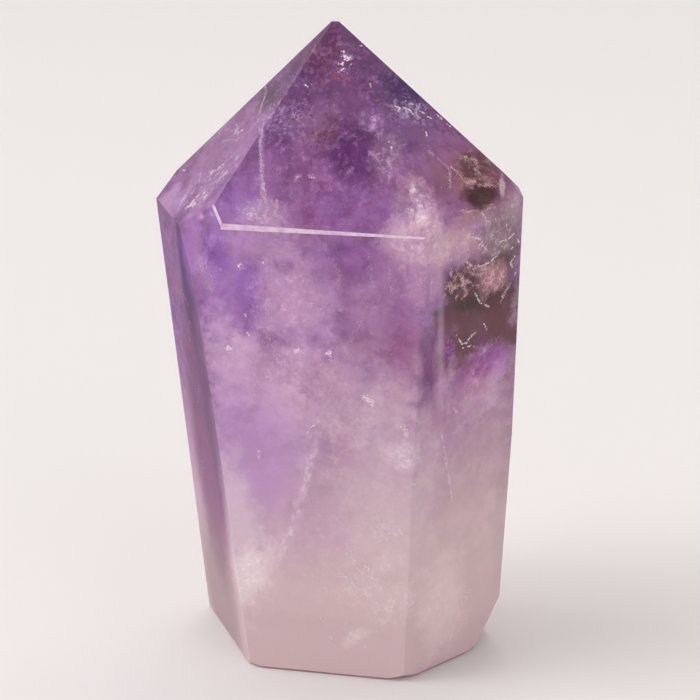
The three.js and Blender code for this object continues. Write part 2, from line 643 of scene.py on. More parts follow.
@dataclass
class PolishedStone:
    """The one piece of quartz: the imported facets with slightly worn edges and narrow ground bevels."""

    bevels: GroundFinish = GroundFinish()
    weld: float = 0.002 * MM
    flat_deg: float = 0.2
    wear: float = 0.05 * MM
    wear_steps: int = 2
    bevel_width: float = 0.6 * MM
    bevel_slimness: float = 3.0
    wear_profile: float = 0.5

    def facets(self) -> bmesh.types.BMesh:
        """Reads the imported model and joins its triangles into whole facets.

        Returns:
            The facets, each one face. The ground bevels have material index 1.
        """
        shape = bmesh.new()
        shape.from_mesh(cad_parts[NODE].data)
        bmesh.ops.remove_doubles(shape, verts=shape.verts, dist=self.weld)
        bmesh.ops.dissolve_limit(
            shape, angle_limit=math.radians(self.flat_deg), verts=shape.verts, edges=shape.edges,
            use_dissolve_boundaries=False)
        bmesh.ops.recalc_face_normals(shape, faces=shape.faces)
        for face in shape.faces:
            longest = max(edge.calc_length() for edge in face.edges)
            slim = face.calc_area() / longest < self.bevel_width and longest > self.bevel_width * self.bevel_slimness
            face.material_index = int(slim)
        return shape

    def planes(self) -> list[tuple[Vector, float]]:
        """Gives the outward direction and distance of each facet.

        Returns:
            A direction and a distance for each facet.
        """
        shape = self.facets()
        found = [(face.normal.copy(), face.normal.dot(face.verts[0].co)) for face in shape.faces]
        shape.free()
        return found

    def build(self, plan: "ColourPlan") -> bpy.types.Object:
        """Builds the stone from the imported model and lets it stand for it.

        Args:
            plan: Where its colours, clouds and duller parts lie.

        Returns:
            The stone.
        """
        shape = self.facets()
        bmesh.ops.bevel(
            shape, geom=list(shape.edges), offset=self.wear, offset_type="OFFSET", segments=self.wear_steps,
            profile=self.wear_profile, affect="EDGES", clamp_overlap=True, material=0)
        bmesh.ops.recalc_face_normals(shape, faces=shape.faces)
        mesh = bpy.data.meshes.new("polished_stone")
        shape.to_mesh(mesh)
        shape.free()
        quartz = QuartzFinish(zones=plan.zones(), clouds=plan.clouds(), scuffs=plan.scuffs())
        mesh.materials.append(quartz.build())
        mesh.materials.append(self.bevels.build())
        stone = add_object("polished_stone", mesh)
        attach(stone, BODY)
        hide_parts(NODE)
        return stone


@dataclass
class Sight:
    """Follows a line of sight from the camera through a facet into the stone, bent as quartz bends it."""

    camera: PhotoView
    planes: list[tuple[Vector, float]]

    def enter(self, x: float, y: float) -> tuple[Vector, Vector, Vector] | None:
        """Finds where the line of sight of a pixel enters the stone.

        Args:
            x: Pixel column.
            y: Pixel row.

        Returns:
            The point on the surface, the bent direction inside and the outward direction of the facet, or None
            beside the stone.
        """
        start, toward = Vector(self.camera.place), self.camera.ray(x, y)
        first, last, facet = -math.inf, math.inf, None
        for normal, distance in self.planes:
            slope = toward.dot(normal)
            gap = distance - start.dot(normal)
            if slope < 0.0 and gap / slope > first:
                first, facet = gap / slope, normal
            elif slope > 0.0:
                last = min(last, gap / slope)
        if facet is None or first >= last:
            return None
        cosine = -toward.dot(facet)
        inner = math.sqrt(1.0 - (1.0 - cosine * cosine) / QUARTZ_INDEX**2)
        bent = toward / QUARTZ_INDEX + facet * (cosine / QUARTZ_INDEX - inner)
        return start + toward * first, bent.normalized(), facet

    def at(self, x: float, y: float, depth_mm: float) -> Vector | None:
        """Gives the point that a pixel shows so far along the bent line, or None beside the stone."""
        found = self.enter(x, y)
        return None if found is None else found[0] + found[1] * (depth_mm * MM)

    def nearest(self, points: np.ndarray) -> tuple[np.ndarray, np.ndarray]:
        """Measures how deep points lie under the nearest facet.

        Args:
            points: Rows of x, y and z.

        Returns:
            A distance for each point, negative outside, and the outward direction of its facet.
        """
        normals = np.array([normal[:] for normal, _ in self.planes])
        distances = np.array([distance for _, distance in self.planes])
        gaps = distances[None, :] - points @ normals.T
        return gaps.min(axis=1), normals[gaps.argmin(axis=1)]


def rows(points: list[Vector]) -> np.ndarray:
    """Makes one array of points or directions, a row for each."""
    return np.array([point[:] for point in points]).reshape(-1, 3)


def clumping(point: Vector, waves: float, seed: int) -> float:
    """Gives a noise of about -1 to 1 that draws flakes together, with so many waves for each millimetre."""
    shifted = point / MM * waves + Vector([seed * shift for shift in CLUMP_SHIFT])
    return fractal(shifted, CLUMP_ROUGH, CLUMP_GAP, CLUMP_OCTAVES) * CLUMP_GAIN


class Lie(Enum):
    """How the flakes of a flaw lie."""

    EVERY_WAY = "every way"
    ALONG = "along"


@dataclass
class Flaw:
    """A cloud of tiny flakes inside the stone. Its kinds place the flakes.

    Large flakes are rarer with a higher rarity. A corner strays by up to the slip, as a share of the turn to
    the next corner, and reaches as far as the reach says, as a share of the flake's radius.
    """

    name: str
    finish: FlakeFinish
    seed: int
    size_mm: tuple[float, float]
    count: int = 0
    stretch: float = 1.0
    skin_mm: float = 0.12
    corners: int = 4
    lie: Lie = Lie.EVERY_WAY
    jitter: float = 0.35
    lift_mm: float | None = None
    rarity: int = 3
    slip: float = 0.3
    reach: tuple[float, float] = (0.6, 1.15)

    def scatter(self, sight: Sight, chance: np.random.Generator) -> Strewn:
        """Places the flakes.

        Args:
            sight: Lines of sight into the stone.
            chance: Seeded randomness.

        Returns:
            Centres, face directions and long directions, a row for each flake.
        """
        raise NotImplementedError

    def build(self, sight: Sight) -> None:
        """Builds all flakes as one mesh.

        Args:
            sight: Lines of sight into the stone.
        """
        chance = np.random.default_rng(self.seed)
        centres, facing, along = self.scatter(sight, chance)
        gap, outward = sight.nearest(centres)
        least = self.skin_mm * MM
        if self.lift_mm is not None:
            centres, facing = centres + outward * (gap + self.lift_mm * MM)[:, None], outward
            gap, least = sight.nearest(centres)[0], -1.5 * self.lift_mm * MM
        kept = gap > least
        centres, facing, along = centres[kept], facing[kept], along[kept]
        total = len(centres)
        if self.lie is Lie.EVERY_WAY:
            facing = chance.normal(size=(total, 3))
        else:
            facing = facing + chance.normal(scale=self.jitter, size=(total, 3))
        facing /= np.linalg.norm(facing, axis=1, keepdims=True)
        along = along + chance.normal(scale=self.jitter, size=(total, 3))
        across = np.cross(facing, along)
        across /= np.linalg.norm(across, axis=1, keepdims=True)
        along = np.cross(across, facing)
        low, high = self.size_mm
        radius = (low + (high - low) * chance.random(total) ** self.rarity) * MM / 2.0
        turns = np.arange(self.corners)[None, :] + chance.uniform(-self.slip, self.slip, (total, self.corners))
        turns = turns * (2.0 * math.pi / self.corners)
        reach = radius[:, None] * chance.uniform(*self.reach, (total, self.corners))
        points = (
            centres[:, None, :]
            + (reach * np.cos(turns))[:, :, None] * along[:, None, :] * self.stretch
            + (reach * np.sin(turns))[:, :, None] * across[:, None, :]
        ).reshape(-1, 3)
        self.join(points, total)

    def join(self, points: np.ndarray, total: int) -> None:
        """Makes the mesh of the flakes and dresses it.

        Args:
            points: The corners of all flakes, one flake after another.
            total: How many flakes there are.
        """
        mesh = bpy.data.meshes.new(self.name)
        mesh.vertices.add(len(points))
        mesh.vertices.foreach_set("co", points.astype(np.float32).ravel())
        mesh.loops.add(len(points))
        mesh.loops.foreach_set("vertex_index", np.arange(len(points), dtype=np.int32))
        mesh.polygons.add(total)
        mesh.polygons.foreach_set("loop_start", np.arange(total, dtype=np.int32) * self.corners)
        mesh.update(calc_edges=True)
        mesh.materials.append(self.finish.build())
        made = add_object(self.name, mesh)
        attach(made, BODY)
        log.info("%s: %d flakes", self.name, total)


@dataclass(frozen=True)
class Spot:
    """An oval of the picture and the depths behind it, in pixels and millimetres."""

    x: float
    y: float
    across: float
    tall: float
    turn: float = 0.0
    near_mm: float = 0.3
    far_mm: float = 3.0
    share: float = 1.0


@dataclass
class Speckle(Flaw):
    """Flakes in ovals of the picture, drawn together into clumps."""

    spots: tuple[Spot, ...] = ()
    clump: float = 0.9
    bare: float = 0.0
    spread: float = 0.42

    def scatter(self, sight: Sight, chance: np.random.Generator) -> Strewn:
        """Places the flakes where a noise in the stone is strong.

        Args:
            sight: Lines of sight into the stone.
            chance: Seeded randomness.

        Returns:
            Centres, face directions and long directions.
        """
        centres: list[Vector] = []
        whole = sum(spot.share for spot in self.spots)
        for spot in self.spots:
            turn = math.radians(spot.turn)
            for _ in range(round(self.count * spot.share / whole)):
                u, v = chance.normal(scale=self.spread, size=2)
                across, tall = u * spot.across, v * spot.tall
                x = spot.x + across * math.cos(turn) - tall * math.sin(turn)
                y = spot.y + across * math.sin(turn) + tall * math.cos(turn)
                point = sight.at(x, y, chance.uniform(spot.near_mm, spot.far_mm))
                if point is not None and clumping(point, self.clump, self.seed) > self.bare:
                    centres.append(point)
        shape = (len(centres), 3)
        return rows(centres), chance.normal(size=shape), chance.normal(size=shape)


@dataclass
class Wisp(Flaw):
    """Fine trails of flakes along lines through the picture, as healed cracks seen on edge.

    Each line is a row of pixels, x and y in turn.
    """

    lines: tuple[tuple[float, ...], ...] = ()
    depth_mm: float = 0.45
    width_mm: float = 0.25
    dense: float = 9.0
    bare: float = -0.15
    clump: float = 1.6

    def scatter(self, sight: Sight, chance: np.random.Generator) -> Strewn:
        """Strews the flakes round each line, where a noise is strong.

        Args:
            sight: Lines of sight into the stone.
            chance: Seeded randomness.

        Returns:
            Centres, face directions and long directions.
        """
        spread = self.width_mm * MM / 2.0
        centres, towards = [], []
        for line in self.lines:
            knots = np.array(line).reshape(-1, 2)
            reach = np.concatenate([[0.0], np.cumsum(np.linalg.norm(np.diff(knots, axis=0), axis=1))])
            for along in chance.uniform(0.0, reach[-1], round(self.dense * reach[-1])):
                here, ahead = ([np.interp(along + more, reach, knots[:, i]) for i in (0, 1)] for more in (-1.0, 1.0))
                point, beyond = sight.at(*here, self.depth_mm), sight.at(*ahead, self.depth_mm)
                if point is None or beyond is None or clumping(point, self.clump, self.seed) < self.bare:
                    continue
                centres.append(point + Vector(chance.normal(scale=spread, size=3)))
                towards.append((beyond - point).normalized())
        return rows(centres), chance.normal(size=(len(centres), 3)), rows(towards)


@dataclass
class OpenCrack(Wisp):
    """Fine cracks that reach the polish, so that no haze hides them."""

    depth_mm: float = 0.0
    lie: Lie = Lie.ALONG
    jitter: float = 0.12
    stretch: float = 1.6
    lift_mm: float | None = 0.02


@dataclass
class OpenDust(Speckle):
    """Specks that reach the polish."""

    lie: Lie = Lie.ALONG
    jitter: float = 0.12
    stretch: float = 1.6
    lift_mm: float | None = 0.02


@dataclass
class StrayCrack(OpenCrack):
    """Short curved cracks strewn over the sides that the picture doesn't show.

    They begin on a ring round the stone, at heights that crowd towards the top. Lengths are in millimetres.
    """

    cracks: int = 40
    bend: float = 0.12
    sides_deg: tuple[float, float] = (75.0, 285.0)
    ring: float = 18.0
    top: float = 68.0
    fall: float = 52.0
    crowding: float = 1.6
    stride: tuple[float, float] = (0.02, 0.1)
    uneven: tuple[float, float] = (0.4, 1.6)

    def scatter(self, sight: Sight, chance: np.random.Generator) -> Strewn:
        """Lets each crack wander from a random place beside the stone. It is laid on the polish afterwards.

        Args:
            sight: Lines of sight into the stone; not used here.
            chance: Seeded randomness.

        Returns:
            Centres, face directions and long directions.
        """
        centres, towards = [], []
        for _ in range(self.cracks):
            side = math.radians(chance.uniform(*self.sides_deg))
            height = self.top - self.fall * chance.random() ** self.crowding
            here = Vector((math.sin(side) * self.ring, -math.cos(side) * self.ring, height))
            heading = Vector(chance.normal(size=3)).normalized()
            for _ in range(round(self.count / self.cracks * chance.uniform(*self.uneven))):
                heading = (heading + Vector(chance.normal(scale=self.bend, size=3))).normalized()
                here = here + heading * chance.uniform(*self.stride)
                centres.append((here + Vector(chance.normal(scale=self.width_mm / 2.0, size=3))) * MM)
                towards.append(heading)
        return rows(centres), rows(centres), rows(towards)


@dataclass
class Veil(Flaw):
    """A curved healed crack: flakes that lie along one thin sheet, with bare holes between them.

    Each corner of the sheet is a pixel and the depth behind it in millimetres.
    """

    corners_at: tuple[tuple[float, float, float], ...] = ()
    bulge_mm: float = 1.5
    lace: float = 0.8
    holes: float = 0.0
    thick_mm: float = 0.12
    swell_waves: float = 0.25
    rim: float = 6.0
    lie: Lie = Lie.ALONG

    def scatter(self, sight: Sight, chance: np.random.Generator) -> Strewn:
        """Strews the flakes over the sheet and leaves its holes bare.

        Args:
            sight: Lines of sight into the stone.
            chance: Seeded randomness.

        Returns:
            Centres, face directions and long directions.
        """
        a, b, c, d = (np.array(sight.at(*corner)[:]) for corner in self.corners_at)
        normal = np.cross(b - a, d - a)
        normal /= np.linalg.norm(normal)
        u, v = chance.random((self.count, 1)), chance.random((self.count, 1))
        sheet = a * (1 - u) * (1 - v) + b * u * (1 - v) + c * u * v + d * (1 - u) * v
        swell = np.sin(math.pi * u) * np.sin(math.pi * v) * self.bulge_mm * MM
        waves = np.array([[clumping(Vector(p), self.swell_waves, self.seed + 5)] for p in sheet])
        sheet = sheet + normal * (swell + waves * MM + chance.normal(scale=self.thick_mm * MM / 2.0, size=u.shape))
        edge = np.minimum(np.minimum(u, 1 - u), np.minimum(v, 1 - v))[:, 0]
        ragged = np.array([clumping(Vector(p), self.lace, self.seed) for p in sheet])
        centres = sheet[ragged + np.clip(edge * self.rim - 1.0, -1.0, 0.0) > self.holes]
        return centres, np.tile(normal, (len(centres), 1)), chance.normal(size=centres.shape)


class Palette:
    """The finishes of the flaws. The milky and creamy veils and the mirror-like fractures carry a painted glow, which
    lights them as no lamp does.
    """

    # The milky and creamy veils: pale flakes with a painted glow.
    milk = FlakeFinish("milky_veil_painted_glow", (250, 240, 248), (214, 190, 214), painted_glow=0.9)
    cream = FlakeFinish("creamy_veil_painted_glow", (252, 236, 228), (214, 186, 196), painted_glow=0.7)
    smoke = FlakeFinish("smoky_clump", (176, 96, 84), (96, 46, 48))
    rust = FlakeFinish("rusty_speckle", (116, 54, 72), (84, 30, 52))
    ember = FlakeFinish("red_arc", (176, 84, 82), (140, 62, 84))
    violet = FlakeFinish("violet_streak", (204, 118, 196), (166, 76, 160))
    glint = FlakeFinish("open_glint", (255, 246, 248), (236, 208, 226))
    frost = FlakeFinish("open_crack", (232, 200, 222), (204, 160, 196))
    pearl = FlakeFinish("pale_crack", (242, 226, 230), (216, 192, 198))
    thread = FlakeFinish("open_thread", (226, 184, 194), (182, 130, 144))
    # Mirror flakes that reflect the studio's light, with a strong painted glow on top so that they show as white
    # glints.
    mirror = FlakeFinish("mirror_fracture_painted_glow", (255, 250, 250), (236, 224, 240), roughness=0.08, metallic=1.0, painted_glow=1.4)


@dataclass
class StoneInterior:
    """All that lies inside the stone: veils, wisps, cracks, dust, glints and clumps."""

    sight: Sight

    def crown(self) -> tuple[Flaw, ...]:
        """Lists the flaws under the front face of the point."""
        return (
            Speckle("tip_glints", Palette.mirror, 8, (0.1, 0.36), 260, bare=0.05, spots=(
                Spot(344, 60, 12, 16, 30, 0.3, 1.2), Spot(312, 84, 18, 10, 0, 0.3, 1.6, 0.4),
                Spot(410, 111, 20, 6, 14, 0.3, 1.2, 0.5))),
            OpenCrack("tip_curls", Palette.glint, 9, (0.04, 0.14), width_mm=0.1, dense=10, bare=-0.2, lines=(
                (348, 51, 344, 57, 350, 59, 341, 64, 346, 67, 340, 71), (342, 50, 346, 54, 344, 61),
                (305, 85, 309, 88), (361, 46, 365, 44), (370, 82, 371, 89), (394, 106, 400, 108, 398, 112),
                (404, 108, 410, 110, 414, 116), (419, 111, 426, 114), (428, 117, 433, 119), (437, 115, 443, 120),
                (447, 124, 452, 128), (426, 132, 427, 139), (389, 142, 392, 150), (411, 184, 415, 192),
                (295, 112, 300, 114), (331, 191, 333, 191))),
            OpenCrack("tip_arc", Palette.ember, 10, (0.04, 0.12), width_mm=0.24, dense=12, bare=-0.6, lines=(
                (331, 76, 338, 79, 345, 78, 351, 80), (336, 74, 341, 75))),
            OpenDust("crown_rust", Palette.rust, 12, (0.06, 0.28), 170, 2.2, clump=1.3, bare=-0.2, spots=(
                Spot(320, 138, 20, 24, 30), Spot(332, 122, 8, 14, share=0.5), Spot(296, 120, 14, 8, share=0.4))),
            OpenDust("crown_dust", Palette.frost, 13, (0.03, 0.12), 900, clump=1.2, bare=0.1, spots=(
                Spot(300, 108, 26, 20, -30), Spot(414, 112, 26, 12, 20), Spot(392, 160, 16, 30),
                Spot(268, 214, 22, 12), Spot(420, 208, 20, 24), Spot(446, 124, 16, 10, 42, share=0.4),
                Spot(352, 62, 22, 26, share=0.6))),
            OpenCrack("crown_wisps", Palette.frost, 14, (0.03, 0.1), width_mm=0.22, dense=15, bare=-0.5, lines=(
                (262, 130, 260, 142, 261, 158, 262, 176, 264, 190, 265, 204),
                (263, 184, 265, 196, 267, 208, 265, 218), (262, 186, 261, 200, 257, 214),
                (265, 82, 266, 94, 261, 108, 258, 122, 260, 132), (296, 178, 304, 175, 316, 178),
                (252, 206, 255, 214, 261, 220, 268, 221), (277, 200, 277, 210, 274, 217, 268, 221),
                (429, 151, 437, 158, 445, 165, 450, 171, 450, 190), (388, 158, 391, 168, 389, 180))),
            Veil("shoulder_veil", Palette.cream, 17, (0.1, 0.3), 6000, bulge_mm=1.2, lace=0.35, corners_at=(
                (384, 148, 0.8), (440, 186, 1.2), (440, 262, 1.6), (392, 246, 1))),
        )

    def shoulder(self) -> tuple[Flaw, ...]:
        """Lists the flaws of the smoky right shoulder."""
        return (
            Speckle("flank_sparkles", Palette.mirror, 24, (0.1, 0.4), 360, 2.2, bare=0, spots=(
                Spot(494, 238, 24, 20, 0, 0.3, 2), Spot(486, 272, 24, 12, 0, 0.4, 2),
                Spot(478, 345, 24, 24, 0, 0.4, 2, 0.6))),
            OpenCrack("flank_cracks", Palette.glint, 25, (0.03, 0.14), width_mm=0.12, dense=11, bare=-0.25, lines=(
                (482, 213, 485, 218, 488, 225), (495, 219, 497, 222), (505, 221, 507, 227),
                (472, 237, 483, 240, 478, 247), (482, 245, 488, 252), (500, 242, 508, 239, 515, 233),
                (518, 240, 520, 247), (515, 256, 510, 263, 513, 268),
                (463, 259, 472, 266, 482, 266, 490, 262, 497, 255), (515, 273, 515, 276),
                (475, 293, 480, 303, 490, 307), (456, 335, 462, 344, 468, 342), (468, 340, 472, 335, 476, 332),
                (463, 348, 472, 345), (484, 324, 487, 330), (453, 408, 458, 414), (465, 398, 468, 401))),
            OpenCrack("flank_threads", Palette.thread, 26, (0.04, 0.16), width_mm=0.26, dense=14, bare=-0.2, lines=(
                (443, 283, 453, 287, 467, 282, 480, 287), (450, 273, 457, 283, 450, 293),
                (460, 276, 467, 293, 460, 300), (470, 272, 478, 276, 486, 271), (465, 157, 477, 160, 476, 166),
                (450, 167, 457, 172, 463, 180), (465, 182, 480, 185, 497, 186, 502, 180),
                (462, 212, 482, 211, 500, 203), (510, 283, 505, 292, 500, 303),
                (444, 296, 452, 290, 459, 285, 466, 288), (446, 268, 456, 270, 464, 280, 474, 284),
                (484, 268, 492, 274, 499, 284), (446, 288, 454, 280, 458, 272), (456, 297, 462, 290, 474, 288),
                (468, 268, 478, 270, 490, 268))),
            OpenDust("flank_dust", Palette.pearl, 29, (0.03, 0.14), 520, clump=1.4, bare=0.1, spots=(
                Spot(494, 236, 24, 20), Spot(488, 266, 22, 11, share=0.8), Spot(476, 174, 22, 14, 35, share=0.5),
                Spot(470, 346, 16, 10, share=0.3))),
            OpenCrack("violet_streaks", Palette.violet, 27, (0.05, 0.16), stretch=3, width_mm=0.7, dense=11, bare=-0.1,
                      lines=((497, 340, 484, 360, 474, 378), (503, 346, 492, 362, 485, 376), (448, 346, 452, 360))),
            Veil("flank_veil", Palette.milk, 28, (0.08, 0.25), 2600, bulge_mm=0.8, lace=0.7, holes=0.22, corners_at=(
                (440, 200, 1), (508, 214, 1), (506, 262, 2), (446, 262, 2))),
        )

    def waist(self) -> tuple[Flaw, ...]:
        """Lists the flaws of the upper body."""
        return (
            Speckle("waist_glints", Palette.mirror, 31, (0.1, 0.42), 300, bare=-0.4, spots=(
                Spot(241, 266, 6, 5, 0, 0.3, 0.8, 0.5), Spot(298, 351, 6, 4, 0, 0.3, 0.8, 0.5),
                Spot(330, 354, 4, 4, 0, 0.3, 0.8, 0.4), Spot(300, 320, 90, 60, 0, 0.3, 5),
                Spot(229, 348, 3, 4, 0, 0.3, 0.6, 0.3))),
            OpenCrack("waist_cracks", Palette.glint, 36, (0.03, 0.12), width_mm=0.12, dense=9, lines=(
                (307, 433, 311, 427, 318, 424, 319, 418), (392, 452, 400, 459, 411, 462), (263, 262, 265, 266),
                (247, 333, 250, 336), (245, 314, 247, 318), (341, 342, 342, 343))),
            OpenCrack("waist_sparks", Palette.glint, 37, (0.06, 0.2), width_mm=0.35, dense=9, bare=-2, lines=(
                (364, 396, 369, 401, 374, 407), (405, 428, 407, 436), (297, 350, 299, 353), (329, 353, 331, 355),
                (240, 265, 242, 268), (228, 347, 230, 351))),
            OpenCrack("waist_wisps", Palette.frost, 38, (0.03, 0.08), width_mm=0.34, dense=9, bare=-0.3, lines=(
                (200, 258, 203, 272, 208, 284, 213, 292, 211, 276, 206, 264), (216, 268, 229, 273),
                (263, 262, 266, 276, 269, 290), (262, 302, 268, 310, 266, 318, 257, 332, 254, 342),
                (262, 328, 270, 340, 276, 352, 278, 362), (325, 245, 330, 258, 341, 275, 335, 285),
                (368, 250, 371, 270, 374, 292), (388, 262, 389, 276, 392, 293),
                (363, 318, 358, 328, 352, 338, 349, 346), (350, 356, 340, 362, 333, 368, 330, 378),
                (328, 366, 325, 376, 318, 386), (334, 376, 331, 388, 330, 400), (254, 372, 260, 384, 264, 395),
                (270, 405, 278, 414, 284, 424), (350, 366, 362, 370, 372, 378), (313, 412, 317, 416, 321, 413))),
        )

    def foot(self) -> tuple[Flaw, ...]:
        """Lists the flaws of the pale lower body."""
        return (
            Veil("slant_veil", Palette.milk, 41, (0.07, 0.24), 6000, bulge_mm=1.6, lace=0.6, holes=0.2, corners_at=(
                (322, 428, 0.7), (326, 430, 8), (262, 606, 7), (250, 600, 0.7))),
            Wisp("slant_edge", Palette.milk, 42, (0.06, 0.24), width_mm=0.5, dense=10, bare=0.12, lines=(
                (325, 428, 312, 447, 317, 452, 303, 464, 308, 477, 299, 484, 305, 495, 294, 504, 300, 513, 287, 522,
                291, 530, 279, 540, 283, 550, 271, 560, 274, 572, 263, 580, 264, 590, 246, 602),)),
            Speckle("corner_cloud", Palette.milk, 43, (0.08, 0.26), 3800, bare=0.02, spots=(
                Spot(262, 570, 26, 34, 20, 0.6, 6), Spot(270, 545, 20, 26, 0, 0.8, 5, 0.5))),
            OpenCrack("foot_feathers", Palette.glint, 45, (0.03, 0.12), width_mm=0.2, dense=10, bare=-0.25, lines=(
                (347, 545, 352, 554), (345, 552, 360, 566, 376, 582), (352, 563, 366, 576, 378, 589),
                (338, 572, 356, 584, 376, 600), (360, 562, 372, 572), (348, 578, 362, 590, 372, 601),
                (378, 520, 386, 528, 391, 537), (384, 522, 390, 530), (388, 524, 399, 537), (394, 524, 404, 536),
                (325, 588, 327, 594), (320, 612, 326, 630, 338, 648), (343, 630, 355, 640, 367, 648),
                # The line from (441, 430) to (453, 508) carries the pale edge image on down: a painted reflection.
                (350, 632, 361, 645), (258, 450, 260, 462), (441, 430, 445, 455, 449, 480, 453, 508),
                (412, 482, 416, 488))),
            OpenCrack("heel_feathers", Palette.glint, 46, (0.03, 0.12), width_mm=0.6, dense=10, bare=-0.1, lines=(
                (466, 590, 460, 612, 452, 632, 442, 650), (470, 588, 463, 604), (448, 636, 434, 656))),
            Veil("corner_veil", Palette.cream, 48, (0.08, 0.26), 3000, bulge_mm=0.8, lace=0.7, holes=0.1, corners_at=(
                (468, 576, 0.6), (472, 600, 5), (446, 660, 5), (438, 640, 0.6))),
            Speckle("dark_specks", Palette.smoke, 49, (0.25, 0.4), 14, bare=-2, spots=(
                Spot(465, 477, 1.2, 3, 0, 0.3, 0.5), Spot(477, 557, 1.2, 2, 0, 0.3, 0.5))),
        )

    def left(self) -> tuple[Flaw, ...]:
        """Lists the flaws under the left face of the point."""
        return (
            OpenCrack("left_streaks", Palette.frost, 51, (0.03, 0.1), width_mm=0.3, dense=9, bare=-0.1, lines=(
                (177, 211, 184, 205, 190, 198, 194, 189), (181, 203, 188, 193, 192, 184),
                (214, 178, 222, 168, 232, 164))),
            Speckle("left_blobs", Palette.milk, 54, (0.08, 0.24), 700, bare=0, spots=(
                Spot(201, 217, 5, 4, 0, 0.3, 1.2), Spot(211, 214, 4, 4, 0, 0.3, 1.2),
                Spot(220, 165, 40, 12, -48, 0.5, 3))),
        )

    def back(self) -> tuple[Flaw, ...]:
        """Lists the flaws near the back, seen from the sides that the picture doesn't show."""
        return (
            Veil("back_veil", Palette.milk, 61, (0.08, 0.28), 6000, bulge_mm=1.4, lace=0.5, holes=0.1, corners_at=(
                (270, 240, 19), (350, 262, 21), (338, 400, 21), (256, 372, 19))),
            StrayCrack("back_cracks", Palette.pearl, 62, (0.03, 0.11), 7600, width_mm=0.2, cracks=70),
            StrayCrack("back_glints", Palette.glint, 63, (0.04, 0.16), 1100, width_mm=0.1, cracks=36, bend=0.25),
        )

    def build(self) -> None:
        """Builds every flaw."""
        for flaw in self.crown() + self.shoulder() + self.waist() + self.foot() + self.left() + self.back():
            flaw.build(self.sight)


